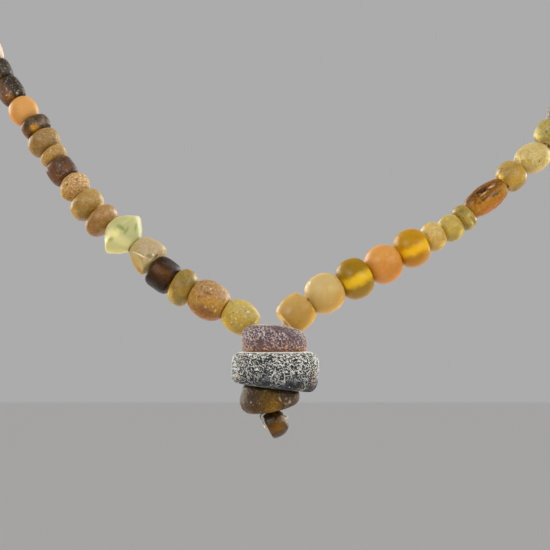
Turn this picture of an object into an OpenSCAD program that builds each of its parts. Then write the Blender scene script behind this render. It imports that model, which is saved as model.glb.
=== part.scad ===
// Glass bead necklace: one thread of old beads with a short drop of four beads at the front.
// Millimetres. +X is the viewer's right, +Z is up, and the front of the necklace faces -Y.
// The origin is at the back of the neck, in the middle of the clasp, where the loop hangs.

/* [Thread] */
// Diameter of the thread
thread_d = 0.5; // [0.4:0.05:0.6]
// Diameter of the holes through the beads
hole_d = 2; // [1.8:0.1:2.2]
// Space left between one bead and the next
bead_gap = 0.35; // [0.3:0.05:0.4]
// Diameter of the knot
knot_d = 1.6; // [1.5:0.1:1.7]

/* [Drop] */
// Diameter of the mauve disc
mauve_d = 16.8; // [16:0.1:17]
// Diameter of the grey disc
grey_d = 22; // [20:0.5:23]
// Diameter of the brown disc
brown_d = 14.9; // [14:0.1:15.4]
// Diameter of the stop bead
stop_d = 6.8; // [6.6:0.1:7]
// Length of the stop bead
stop_len = 5.1; // [5:0.1:5.2]

/* [Back of the neck] */
// Number of beads on the left string
back_left_count = 20; // [18:1:22]
// Number of beads on the right string
back_right_count = 23; // [21:1:25]
// Outer diameter of the clasp
clasp_d = 4.6; // [4:0.2:6]
// Length of the clasp
clasp_len = 10; // [9:0.5:10]

/* [Hidden] */

// Colours of the glass and of the other pieces
OLIVE = [0.66, 0.60, 0.34];
GOLD = [0.80, 0.58, 0.16];
AMBER = [0.66, 0.48, 0.28];
BROWN = [0.20, 0.13, 0.09];
CREAM = [0.85, 0.75, 0.52];
PEACH = [0.90, 0.62, 0.40];
GREEN = [0.66, 0.72, 0.45];
TAN = [0.72, 0.60, 0.44];
MAUVE = [0.58, 0.50, 0.50];
GREY = [0.62, 0.63, 0.60];
THREAD = [0.86, 0.78, 0.74];
BRASS = [0.70, 0.58, 0.32];

// Beads from the drop outward. Columns: name, length, greatest diameter, diameter of the end
// face, fullness and corner of the outline, lift of the body above its hole, extra space that
// a bend needs after the bead, colour.
LEFT = [
    ["bead_left_01", 8.5, 8.7, 4.8, 1.9, 1.6, 0.2, 0, OLIVE],
    ["bead_left_02", 9.4, 10.1, 5.2, 2.0, 1.7, 0, 0, AMBER],
    ["bead_left_03", 5.1, 9.8, 5.6, 2.2, 2.0, -0.3, 0.1, OLIVE],
    ["bead_left_04", 6.3, 8.7, 6.6, 3.4, 2.0, -0.2, 0.25, BROWN],
    ["bead_left_05", 6.7, 9.5, 5.2, 0, 0, 1.4, 0.2, TAN],
    ["bead_left_06", 8.3, 12.5, 4.4, 0, 0, 1.1, 0, GREEN],
    ["bead_left_07", 5.0, 9.4, 3.8, 2.2, 2.1, -0.2, 0, AMBER],
    ["bead_left_08", 5.9, 9.2, 3.8, 2.2, 2.1, -0.2, 0, OLIVE],
    ["bead_left_09", 5.5, 8.3, 4.6, 1.7, 1.5, 0.2, 0, TAN],
    ["bead_left_10", 5.4, 7.5, 5.8, 3.0, 2.0, -0.3, 0, BROWN],
    ["bead_left_11", 3.3, 7.2, 4.2, 2.2, 2.1, 0.2, 0, OLIVE],
    ["bead_left_12", 5.4, 8.7, 4.2, 2.2, 2.1, 0, 0, OLIVE],
    ["bead_left_13", 3.9, 7.5, 5.4, 3.0, 2.0, 0.5, 0, BROWN],
    ["bead_left_14", 7.1, 7.6, 2.8, 2.0, 2.0, 0, 0, PEACH],
    ["bead_left_15", 6.3, 6.8, 5.2, 3.4, 2.0, 0, 0.2, BROWN],
    ["bead_left_16", 6.0, 7.5, 5.0, 3.0, 2.0, -0.8, 0, BROWN],
    ["bead_left_17", 6.8, 7.1, 4.6, 2.2, 2.1, -0.8, 0, CREAM]
];
RIGHT = [
    ["bead_right_01", 7.5, 9.2, 6.6, 2.5, 2.1, 0.2, 0.35, CREAM],
    ["bead_right_02", 9.1, 10.2, 3.4, 2.1, 2.1, 0.1, 0, CREAM],
    ["bead_right_03", 7.6, 10.7, 5.8, 2.1, 1.8, -0.1, 0, GOLD],
    ["bead_right_04", 8.8, 9.9, 3.0, 2.0, 2.0, 0, 0, PEACH],
    ["bead_right_05", 7.8, 9.9, 4.2, 2.1, 2.0, 0.4, 0, GOLD],
    ["bead_right_06", 4.8, 7.5, 4.4, 2.3, 2.0, 0.4, 0, CREAM],
    ["bead_right_07", 5.1, 7.0, 3.6, 2.3, 2.1, 0, 0.1, CREAM],
    ["bead_right_08", 3.3, 6.9, 5.4, 3.0, 2.0, 0.1, 0, OLIVE],
    ["bead_right_09", 12.1, 7.1, 3.8, 1.8, 1.6, 0.5, 0.34, AMBER],
    ["bead_right_10", 5.9, 7.9, 4.4, 2.2, 2.1, 0.5, 0.2, OLIVE],
    ["bead_right_11", 9.3, 7.7, 2.8, 2.0, 2.0, 0, 0.6, CREAM],
    ["bead_right_12", 5.9, 7.5, 4.4, 2.3, 2.1, 0.9, 0, OLIVE],
    ["bead_right_13", 6.2, 7.0, 4.2, 2.3, 2.1, -0.5, 0, TAN]
];
NAME = 0;
LENGTH = 1;
ACROSS = 2;
END = 3;
FULLNESS = 4;
CORNER = 5;
LIFT = 6;
EXTRA = 7;
TINT = 8;

// Sizes that repeat along the hidden strings. Columns: length, diameter, end diameter.
BACK_SIZES = [[6.2, 7.6, 4.0], [5.2, 7.2, 3.8], [6.8, 7.8, 3.8], [5.6, 7.4, 4.2], [6.4, 7.0, 3.6]];

// The thread's route from the clasp down the left side, through the drop and up the right side.
// Columns: x, y, z and the number of rings in the stretch that follows.
ROUTE = [
    [-4, 0, 0, 1], [-16, 0, 0, 2], [-36, -3.5, 0, 2], [-56, -13, -1, 2], [-70, -27, -4, 2],
    [-77, -43, -10, 2], [-78.5, -58, -19.5, 2], [-76, -70, -32, 2], [-70, -78, -46, 2],
    [-63, -84, -56.5, 2], [-56, -89.5, -67, 2], [-48, -95, -78, 2], [-39, -99.5, -87, 2],
    [-28.5, -104, -96, 2], [-17, -107.5, -102.5, 1], [-9, -109.8, -106.8, 1],
    [-5, -110.8, -109.4, 1], [-2.8, -113.4, -108.9, 1], [-1, -116.4, -109, 1],
    [-0.5, -118, -111, 1], [-0.5, -118, -114, 1], [-0.5, -118, -129.7, 1],
    [-1.9, -118.4, -130.4, 1], [-3, -119.2, -130.85, 1], [-3.65, -119.9, -131.45, 1],
    [-3.49, -120.3, -132.3, 1], [-2.84, -120.3, -133.54, 1], [-2.35, -120.3, -134.3, 1],
    [-1.77, -120.3, -134.39, 1], [-1.13, -120.3, -134, 1], [0.42, -120.3, -133.19, 1],
    [2.9, -120.2, -131.9, 1], [3.1, -119.4, -131.75, 1], [2.7, -118, -131.6, 1],
    [1.7, -116.6, -130.9, 1], [0.8, -117, -130, 1], [0.5, -118, -129, 1], [0.5, -118, -114, 1], [0.5, -118, -111, 1],
    [0.8, -116.4, -109.2, 1], [1.6, -113.4, -109.1, 2],
    [2.5, -110.7, -108.8, 2], [5.3, -109.9, -105.5, 1], [12.5, -108, -100.9, 2],
    [27.5, -103.4, -93.5, 2], [45, -96.8, -84.2, 1], [54, -92.2, -76.6, 2],
    [58.9, -90, -73.5, 1], [62.4, -87.6, -69.2, 1], [66, -85.5, -66.9, 1], [69.8, -82.9, -63, 1],
    [72.2, -80.2, -57.8, 2], [76, -75, -47.5, 2], [80.5, -66, -34, 2],
    [82, -54, -21, 2], [80, -40, -11.5, 2], [72.5, -25, -4.5, 2], [58, -12, -1, 2],
    [37, -3.5, 0, 2], [16, 0, 0, 1], [4, 0, 0, 1]
];
// Points of the route where the first bead of each strand starts
LEFT_START = 16;
RIGHT_START = 41;

// The route as a smooth curve through its points
LAST = len(ROUTE) - 1;
function spot(i) = [ROUTE[i].x, ROUTE[i].y, ROUTE[i].z];
function step_or_none(steps, i) = i < len(steps) ? steps[i] : 0;
function running(steps) = [
    for (i = 0, t = 0; i <= len(steps); t = t + step_or_none(steps, i), i = i + 1)
        t
];
KNOTS = running([for (i = [0 : LAST - 1]) norm(spot(i + 1) - spot(i))]);
function slope(i) =
    let (a = max(i - 1, 0), b = min(i + 1, LAST))
    (spot(b) - spot(a)) / (KNOTS[b] - KNOTS[a]);
function curve(i, u) =
    let (h = KNOTS[i + 1] - KNOTS[i])
    (2 * pow(u, 3) - 3 * pow(u, 2) + 1) * spot(i)
    + (pow(u, 3) - 2 * pow(u, 2) + u) * h * slope(i)
    + (3 * pow(u, 2) - 2 * pow(u, 3)) * spot(i + 1)
    + (pow(u, 3) - pow(u, 2)) * h * slope(i + 1);

// Distances along the curve, so that beads can be laid end to end on it
FINE = 10;
LINE = [
    for (i = [0 : LAST - 1])
        for (j = [0 : FINE - 1])
            curve(i, j / FINE),
    spot(LAST)
];
WAY = running([for (k = [0 : len(LINE) - 2]) norm(LINE[k + 1] - LINE[k])]);
WAY_X = [for (k = [0 : len(LINE) - 1]) [WAY[k], LINE[k].x]];
WAY_Y = [for (k = [0 : len(LINE) - 1]) [WAY[k], LINE[k].y]];
WAY_Z = [for (k = [0 : len(LINE) - 1]) [WAY[k], LINE[k].z]];
function at(s) = [lookup(s, WAY_X), lookup(s, WAY_Y), lookup(s, WAY_Z)];
LEFT_WAY = WAY[LEFT_START * FINE];
RIGHT_WAY = WAY[RIGHT_START * FINE];
FULL_WAY = WAY[len(WAY) - 1];

// How far along the strand bead i starts, and where a strand ends
FIRST_GAP_LEFT = 0.3;
FIRST_GAP_RIGHT = 0.5;
function starts(rows) = running([for (row = rows) row[LENGTH] + row[EXTRA] + bead_gap]);
LEFT_AT = LEFT_WAY - FIRST_GAP_LEFT;
RIGHT_AT = RIGHT_WAY + FIRST_GAP_RIGHT;
LEFT_STEPS = starts(LEFT);
RIGHT_STEPS = starts(RIGHT);

// Puts the children with +Z along the strand, from way a to way b
module on_route(a, b) {
    from = at(a);
    to = at(b);
    way = to - from;
    polar = acos(way.z / norm(way));
    turn = atan2(way.y, way.x);
    translate((from + to) / 2)
        rotate([0, polar, turn])
            children();
}

// Outline of a bead between its end faces, as radius and height
OUTLINE_STEPS = 14;
function swell(u, fullness, corner) = pow(max(1 - pow(abs(u), fullness), 0), 1 / corner);
function outline(length, across, end, fullness, corner, steps = OUTLINE_STEPS) = [
    for (k = [0 : steps])
        let (u = -cos(180 * k / steps))
        [end / 2 + (across - end) / 2 * swell(u, fullness, corner), length / 2 * u]
];
module turned(points, facets = 64) {
    top = points[len(points) - 1].y;
    rotate_extrude($fn = facets)
        polygon(concat([[0, points[0].y]], points, [[0, top]]));
}
module hole(length, diameter = hole_d) {
    cylinder(h = length + 20, d = diameter, center = true, $fn = 32);
}

// A plain bead: its body may sit higher than its hole, and one bead is bored askew
SKEW_BEAD = "bead_right_11";
SKEW = 13;
module plain_bead(row) {
    color(row[TINT])
        difference() {
            translate([-row[LIFT], 0, 0])
                rotate([0, row[NAME] == SKEW_BEAD ? SKEW : 0, 0])
                turned(outline(row[LENGTH], row[ACROSS], row[END], row[FULLNESS], row[CORNER]));
            hole(row[LENGTH]);
        }
}

// The bead cut as two blunt cones that swell a little, with a rounded rim
BICONE_RIM = 0.8;
BICONE_SWELL = 0.3;
function bicone_half(r, e, h) = [
    [e, -h], [e + 0.3, -h + 0.15], [(e + r) / 2 + BICONE_SWELL, -h * 0.55],
    [r - BICONE_RIM * 0.8, -BICONE_RIM], [r - BICONE_RIM * 0.25, -BICONE_RIM * 0.45]
];
function bicone_outline(length, across, end) =
    let (half = bicone_half(across / 2, end / 2, length / 2))
    concat(half, [[across / 2, 0]], [for (k = [len(half) - 1 : -1 : 0]) [half[k].x, -half[k].y]]);
module bicone_bead(row) {
    color(row[TINT])
        difference() {
            translate([-row[LIFT], 0, 0])
                turned(bicone_outline(row[LENGTH], row[ACROSS], row[END]));
            hole(row[LENGTH]);
        }
}

// The cone-shaped bead: wide end to the drop and narrow end outward. Its body is bored askew, has
// a flat face low on the front and a chip out of the front of its wide rim.
CONE_WIDE_END = 7.4;
CONE_SKEW = -5;
FACE_AWAY = 3.5;
CHIP_D = 2.2;
module cone_body(row) {
    h = row[LENGTH] / 2;
    wide = CONE_WIDE_END / 2;
    narrow = row[END] / 2;
    r = row[ACROSS] / 2;
    difference() {
        turned([
            [wide, -h], [wide + 0.6, -h * 0.95], [r - 0.15, -h * 0.82], [r, -h * 0.6],
            [r - 0.15, -h * 0.25], [r - 0.5, h * 0.15], [r - 1.1, h * 0.6], [narrow + 0.3, h * 0.93],
            [narrow, h]
        ]);
        rotate([0, 80, 46]) translate([-15, -15, FACE_AWAY]) cube([30, 30, 10]);
        translate([-1.2, 4.5, -h + 0.4]) sphere(d = CHIP_D, $fn = 32);
    }
}
module cone_bead(row) {
    color(row[TINT])
        difference() {
            translate([-row[LIFT], 0, 0]) rotate([0, CONE_SKEW, 0]) cone_body(row);
            hole(row[LENGTH]);
        }
}

module strand_bead(row) {
    if (row[NAME] == "bead_left_05") cone_bead(row);
    else if (row[NAME] == "bead_left_06") bicone_bead(row);
    else plain_bead(row);
}
module left_bead(i) {
    start = LEFT_AT - LEFT_STEPS[i];
    on_route(start, start - LEFT[i][LENGTH])
        strand_bead(LEFT[i]);
}
module right_bead(i) {
    start = RIGHT_AT + RIGHT_STEPS[i];
    on_route(start, start + RIGHT[i][LENGTH])
        strand_bead(RIGHT[i]);
}

// Strings of beads round the back of the neck. Their sizes repeat, and their lengths are
// scaled a little so that the string just reaches the clasp.
BACK_STEPS = 8;
BACK_GAP = 0.5;
function back_size(i) = BACK_SIZES[i % len(BACK_SIZES)];
module back_string(from, to, count) {
    sizes = [for (i = [0 : count - 1]) back_size(i).x];
    total = running(sizes)[count];
    room = abs(to - from) - BACK_GAP * (count + 1);
    k = room / total;
    way = to > from ? 1 : -1;
    begin = running([for (l = sizes) l * k + BACK_GAP]);
    color(TAN)
        for (i = [0 : count - 1]) {
            s = from + way * (BACK_GAP + begin[i]);
            l = sizes[i] * k;
            on_route(s, s + way * l)
                difference() {
                    turned(outline(l, back_size(i).y, back_size(i).z, 2.2, 2.1, BACK_STEPS), 32);
                    hole(l);
                }
        }
}
CLASP_HALF = clasp_len / 2;
CLASP_IN = 4;
CLASP_HOLE = 1.6;
module back_beads_left() {
    back_string(
        LEFT_AT - LEFT_STEPS[len(LEFT)],
        CLASP_HALF - CLASP_IN,
        back_left_count
    );
}
module back_beads_right() {
    back_string(
        RIGHT_AT + RIGHT_STEPS[len(RIGHT)],
        FULL_WAY - (CLASP_HALF - CLASP_IN),
        back_right_count
    );
}

// Plain barrel clasp: both ends of the thread go into it
module clasp() {
    r = clasp_d / 2;
    color(BRASS)
        rotate([0, 90, 0])
            difference() {
                turned([
                    [r * 0.7, -CLASP_HALF], [r * 0.92, -CLASP_HALF + 0.4], [r, -CLASP_HALF + 1.1],
                    [r, CLASP_HALF - 1.1], [r * 0.92, CLASP_HALF - 0.4], [r * 0.7, CLASP_HALF]
                ]);
                hole(clasp_len, CLASP_HOLE);
            }
}

// The drop hangs from the thread at its own upright axis, in front of the strands
DROP_X = 0;
DROP_Y = -118;
DROP_HOLE = 2.4;
FUNNEL_D = 6;
FUNNEL_DEPTH = 1.4;
MAUVE_TOP = -109.2;
MAUVE_FOOT = -115.3;
MAUVE_LEAN = 5.5;
MAUVE_NOD = -6;
GREY_TOP = -115.42;
GREY_FOOT = -124.5;
GREY_FOOT_LEAN = 7;
GREY_FOOT_SHIFT = -0.5;
BROWN_TOP = GREY_FOOT - 0.14;
BROWN_FOOT = -129.4;
BROWN_FOOT_LEAN = -10.6;
BROWN_FOOT_NOD = 10;
BROWN_SHIFT = -0.9;
STOP_AT = [0.42, -120.3, -133.19];
STOP_HOLE = 1.8;
STOP_LEAN = 62.5;
STOP_FLAT_END = 5.8;
STOP_ROUND_END = 3;
TALL = 14;

// A quarter of a rounded rim, from the side (side = 1) or to it (side = -1), as radius and height
RIM_STEPS = 6;
function rim(r, z, rx, rz, a, b) = [
    for (k = [0 : RIM_STEPS])
        let (t = a + (b - a) * k / RIM_STEPS)
        [r - rx + rx * cos(t), z + rz * sin(t)]
];
// Disc with its foot at z = 0 and a rounded lower rim; and one with its top at z = 0
module round_foot(d, rx, rz) {
    turned(concat(rim(d / 2, rz, rx, rz, -90, 0), [[d / 2, TALL]]), 96);
}
module round_top(d, rx, rz) {
    turned(concat([[d / 2, -TALL]], rim(d / 2, -rz, rx, rz, 0, 90)), 96);
}
module drop_hole() {
    cylinder(h = 60, d = DROP_HOLE, center = true, $fn = 32);
}

module drop_bead_mauve() {
    color(MAUVE)
        translate([DROP_X, DROP_Y, 0])
            difference() {
                intersection() {
                    translate([0, 0, MAUVE_TOP])
                        rotate([MAUVE_NOD, MAUVE_LEAN, 0]) round_top(mauve_d, 3.6, 3.4);
                    translate([0, 0, MAUVE_FOOT]) round_foot(mauve_d, 0.6, 1.1);
                }
                translate([0, 0, MAUVE_TOP - FUNNEL_DEPTH])
                    cylinder(h = 2 * FUNNEL_DEPTH, d1 = DROP_HOLE, d2 = 2 * FUNNEL_D - DROP_HOLE, $fn = 48);
                translate([0, 0, MAUVE_TOP]) drop_hole();
            }
}
module drop_bead_grey() {
    color(GREY)
        translate([DROP_X, DROP_Y, 0])
            difference() {
                intersection() {
                    translate([0, 0, GREY_TOP]) round_top(grey_d, 2.4, 3);
                    translate([GREY_FOOT_SHIFT, 0, GREY_FOOT - GREY_FOOT_SHIFT * tan(GREY_FOOT_LEAN)])
                        rotate([0, GREY_FOOT_LEAN, 0]) round_foot(grey_d, 2, 3);
                }
                translate([0, 0, GREY_TOP]) drop_hole();
            }
}
module drop_bead_brown() {
    color(BROWN)
        translate([DROP_X, DROP_Y, 0])
            difference() {
                translate([BROWN_SHIFT, 0, 0])
                    intersection() {
                        translate([0, 0, BROWN_TOP - BROWN_SHIFT * tan(GREY_FOOT_LEAN)])
                            rotate([0, GREY_FOOT_LEAN, 0]) round_top(brown_d, 0.8, 1.2);
                        translate([0, 0, BROWN_FOOT])
                            rotate([BROWN_FOOT_NOD, BROWN_FOOT_LEAN, 0]) round_foot(brown_d, 1.4, 1.9);
                    }
                translate([0, 0, BROWN_TOP]) drop_hole();
            }
}
module drop_bead_stop() {
    h = stop_len / 2;
    r = stop_d / 2;
    flat_end = STOP_FLAT_END / 2;
    round_end = STOP_ROUND_END / 2;
    color(BROWN)
        translate(STOP_AT)
            rotate([0, STOP_LEAN, 0])
                difference() {
                    turned([
                        [flat_end, -h], [r - 0.15, -h * 0.86], [r, -h * 0.5], [r, 0], [r - 0.2, h * 0.35],
                        [r - 0.7, h * 0.7], [round_end + 0.5, h * 0.92], [round_end, h]
                    ]);
                    hole(stop_len, STOP_HOLE);
                }
}

// Knot on the thread, just before the first bead of the right strand
KNOT_LEN = 0.9;
KNOT_BACK = 0.7;
KNOT_BORE = 1;
module knot() {
    color(THREAD)
        on_route(RIGHT_WAY - KNOT_BACK, RIGHT_WAY - KNOT_BACK + KNOT_LEN)
            difference() {
                turned(outline(KNOT_LEN, knot_d, KNOT_BORE + 0.2, 2, 2, 8), 32);
                hole(KNOT_LEN, KNOT_BORE);
            }
}

// The thread: rings of eight points along the route, carried on without a twist
THREAD_SIDES = 8;
RINGS = [
    for (i = [0 : LAST - 1])
        for (j = [0 : ROUTE[i][3] - 1])
            curve(i, j / ROUTE[i][3]),
    spot(LAST)
];
function unit(v) = v / norm(v);
function heading(k) = unit(RINGS[min(k + 1, len(RINGS) - 1)] - RINGS[max(k - 1, 0)]);
function square_to(v, t) = unit(v - (v * t) * t);
SIDEWAYS = [
    for (k = 0, v = square_to([0, 0, 1], heading(0));
        k < len(RINGS);
        k = k + 1, v = square_to(v, heading(min(k, len(RINGS) - 1))))
        v
];
module thread() {
    n = THREAD_SIDES;
    points = [
        for (k = [0 : len(RINGS) - 1])
            let (a = SIDEWAYS[k], b = cross(heading(k), a))
            for (m = [0 : n - 1])
                RINGS[k] + thread_d / 2 * (cos(360 * m / n) * a + sin(360 * m / n) * b)
    ];
    walls = [
        for (k = [0 : len(RINGS) - 2])
            for (m = [0 : n - 1])
                let (p = k * n + m, q = k * n + (m + 1) % n)
                each [[p, p + n, q + n], [p, q + n, q]]
    ];
    first = [for (m = [0 : n - 1]) m];
    last = [for (m = [n - 1 : -1 : 0]) (len(RINGS) - 1) * n + m];
    color(THREAD)
        polyhedron(points, concat([first], walls, [last]));
}

for (i = [0 : len(LEFT) - 1])
    left_bead(i);
for (i = [0 : len(RIGHT) - 1])
    right_bead(i);
drop_bead_mauve();
drop_bead_grey();
drop_bead_brown();
drop_bead_stop();
knot();
thread();
back_beads_left();
back_beads_right();
clasp();
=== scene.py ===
"""Looks, lights and camera of the glass bead necklace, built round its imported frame.

Each bead starts from its own solid: a fine even mesh is drawn over it, worn and pitted, and given
the glass of that bead. Sizes of beads, pits and marks are in millimetres, and MM turns them into
the frame's metres. Colours are display values from 0 to 255.
"""

import math
from dataclasses import dataclass, field

import bpy
import numpy as np
from mathutils import Matrix, Vector, noise
from mathutils.kdtree import KDTree


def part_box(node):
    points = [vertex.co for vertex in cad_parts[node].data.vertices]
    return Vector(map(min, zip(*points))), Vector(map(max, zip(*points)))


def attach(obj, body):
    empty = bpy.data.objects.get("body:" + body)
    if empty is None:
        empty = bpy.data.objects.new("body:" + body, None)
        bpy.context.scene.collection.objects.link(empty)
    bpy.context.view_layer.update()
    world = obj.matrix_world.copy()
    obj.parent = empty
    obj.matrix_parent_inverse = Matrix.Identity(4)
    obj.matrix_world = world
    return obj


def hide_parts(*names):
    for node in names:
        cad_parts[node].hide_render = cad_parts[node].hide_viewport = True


MM = 0.001
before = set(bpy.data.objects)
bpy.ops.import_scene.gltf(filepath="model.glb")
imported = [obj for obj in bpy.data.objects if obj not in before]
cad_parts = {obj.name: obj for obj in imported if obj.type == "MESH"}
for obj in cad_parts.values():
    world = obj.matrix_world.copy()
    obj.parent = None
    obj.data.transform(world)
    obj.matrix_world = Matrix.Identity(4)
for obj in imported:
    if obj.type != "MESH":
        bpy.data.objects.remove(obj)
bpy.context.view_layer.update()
UPRIGHT_BEADS = ("drop_bead_mauve", "drop_bead_grey", "drop_bead_brown")

# Camera: level, square to the front of the drop, with the photograph's field of view
DROP_FRONT_Y = -118
CAMERA_AWAY = 1200
CAMERA_HEIGHT = -96.25
VIEW_WIDTH = 137.5
SENSOR = 36

# Stage, in metres and watts, where a light has its place, the side of its square and its power
SEEN_FROM = 0.01
SEEN_TO = 20
FLOOR_REACH = 12
FLOOR_LEVEL = -0.45
FLOOR_TONE = (243, 242, 240)
STUDIO_TONE = (226, 226, 226)
STUDIO_STRENGTH = 0.54
LIT_SPOT = (0, -0.08, -0.07)
LIGHTS = {
    "key_left": ((-0.6, -0.9, 0.5), 0.4, 7),
    "key_right": ((0.65, -0.7, 0.3), 0.4, 5),
    "back_left": ((-0.7, 0.5, 0.15), 0.6, 8),
    "back_right": ((0.7, 0.5, 0.15), 0.6, 8),
}

# Fine meshes: the side of their quads on the beads, on the drop's beads and on the back strings
VOXEL = 0.22
DROP_VOXEL = {"drop_bead_mauve": 0.2, "drop_bead_grey": 0.17, "drop_bead_brown": 0.22}
STRING_VOXEL = 0.4

# Wear: its spans and depths, how many patches of pits a millimetre has, how far the hole reaches
# and where the worn outside begins, and which faces are too square to the hole to be worn
LUMP_SPAN = 3.6
WEAR_SPAN = 1.1
WEAR_DEPTH = 0.07
WEAR_LEVEL = 0.45
PIT_SPACING = 2.2
PIT_PATCHES = 0.45
SLIT_DEPTH = 0.16
SLIT_LEAN = math.radians(-28)
SLIT_STRETCH = (1.1, 1.5, 2.7)
HOLE_REACH = 1.25
HOLE_FADE = 0.6
FLAT_END = 0.985
FLAT_END_FADE = 0.08

# Glass: how much it bends light, how soft its rim is, how far the painted glow along its hole
# reaches, and two tones that several beads have in their pits
GLASS_IOR = 1.45
RIM_ROUGHNESS = 0.45
BAND_REACH = 1.7
OCHRE_PIT = (120, 84, 34)
DARK_PIT = (52, 36, 22)

# Marks from this half width up have the softer edge, which runs between two shares of that width
BROAD_MARK = 0.8
BROAD_EDGE = (1.6, 0.15)
NARROW_EDGE = (1.25, 0.4)

# Yarn of the thread and the knot: light and dirty tones, and the sizes of its plies
THREAD_TONES = ((232, 222, 202), (176, 160, 132))
KNOT_TONES = ((232, 214, 204), (176, 146, 132))
YARN_STEP = 0.25
PLIES = 3
PLY_RADIUS = 0.12
PLY_OFFSET = 0.1
PLY_TURN = 1.5
PLY_SIDES = 6
KNOT_REACH = 0.36
KNOT_WIND = 0.2
KNOT_YARN = 0.21
KNOT_STEPS = 96
KNOT_SIDES = 8

# Clasp: shares of its radius and half length, from the hole's edge at one end to the middle
CLASP_PROFILE = (
    (0.36, 1.0), (0.68, 1.0), (0.72, 0.985), (0.9, 0.93), (0.97, 0.87), (1.0, 0.78), (1.0, 0.7),
    (0.99, 0.69), (0.955, 0.685), (0.955, 0.655), (0.99, 0.65), (1.0, 0.64), (1.0, 0.2), (1.0, 0.0),
)
CLASP_SIDES = 96
BRASS_TONES = ((176, 142, 78), (214, 184, 116))

# The thread's route, as in the part's source, and the number of its point where the knot is
ROUTE = (
    (-4, 0, 0), (-16, 0, 0), (-36, -3.5, 0), (-56, -13, -1), (-70, -27, -4),
    (-77, -43, -10), (-78.5, -58, -19.5), (-76, -70, -32), (-70, -78, -46),
    (-63, -84, -56.5), (-56, -89.5, -67), (-48, -95, -78), (-39, -99.5, -87),
    (-28.5, -104, -96), (-17, -107.5, -102.5), (-9, -109.8, -106.8),
    (-5, -110.8, -109.4), (-2.8, -113.4, -108.9), (-1, -116.4, -109),
    (-0.5, -118, -111), (-0.5, -118, -114), (-0.5, -118, -129.7),
    (-1.9, -118.4, -130.4), (-3, -119.2, -130.85), (-3.65, -119.9, -131.45),
    (-3.49, -120.3, -132.3), (-2.84, -120.3, -133.54), (-2.35, -120.3, -134.3),
    (-1.77, -120.3, -134.39), (-1.13, -120.3, -134), (0.42, -120.3, -133.19),
    (2.9, -120.2, -131.9), (3.1, -119.4, -131.75), (2.7, -118, -131.6),
    (1.7, -116.6, -130.9), (0.8, -117, -130), (0.5, -118, -129), (0.5, -118, -114),
    (0.5, -118, -111), (0.8, -116.4, -109.2), (1.6, -113.4, -109.1),
    (2.5, -110.7, -108.8), (5.3, -109.9, -105.5), (12.5, -108, -100.9),
    (27.5, -103.4, -93.5), (45, -96.8, -84.2), (54, -92.2, -76.6),
    (58.9, -90, -73.5), (62.4, -87.6, -69.2), (66, -85.5, -66.9), (69.8, -82.9, -63),
    (72.2, -80.2, -57.8), (76, -75, -47.5), (80.5, -66, -34),
    (82, -54, -21), (80, -40, -11.5), (72.5, -25, -4.5), (58, -12, -1),
    (37, -3.5, 0), (16, 0, 0), (4, 0, 0),
)
KNOT_AT = 41


# Marks are the bead's own spots and streaks, and also painted light: glows, glints, sheens and a
# shaded chip, told at each bead.
@dataclass
class Mark:
    """A spot or streak that the bead shows, as seen from the front: its place from the bead's
    middle, its half width, how many times as long it is, and how far it leans from level."""
    right: float
    up: float
    size: float
    colour: tuple
    strength: float = 0.9
    long: float = 1.0
    lean: float = 0.0


@dataclass
class Glass:
    """How the glass of one bead looks. Its tones are those of the upper half, the underside, whose
    tone paints shade and the glow of light through the glass, the film over the top, partly
    weathered film and partly a painted sheen of the light from above, the pits, the specks and the
    painted glow along the hole. The other values are shares, apart from lumps, pit_size, pit_depth
    and scatter in millimetres, soft in smoothing passes, and the marks."""
    body: tuple
    underside_shade_glow: tuple
    film_and_sheen: tuple
    film_sheen_share: float = 0.5
    clear: float = 0.35
    rough: float = 0.42
    lumps: float = 0.3
    pits: float = 0.3
    pit_size: float = 0.5
    pit_depth: float = 0.12
    pit_tone: tuple = (90, 62, 28)
    specks: float = 0.25
    speck_tone: tuple = (236, 224, 190)
    grain: float = 0.5
    core: tuple = (190, 160, 100)
    core_light: float = 0.06
    shine: float = 0.12
    scatter: float = 0.9
    rim: float = 0.35
    band: float = 0.0
    streaks: float = 0.0
    soft: int = 3
    marks: list = field(default_factory=list)


# What the smooth satin beads share, and the dark ones
SATIN = {"rough": 0.4, "pits": 0, "grain": 0.04, "shine": 0.2, "scatter": 2.2}
DARK = {"clear": 0.2, "scatter": 0.5}
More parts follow.
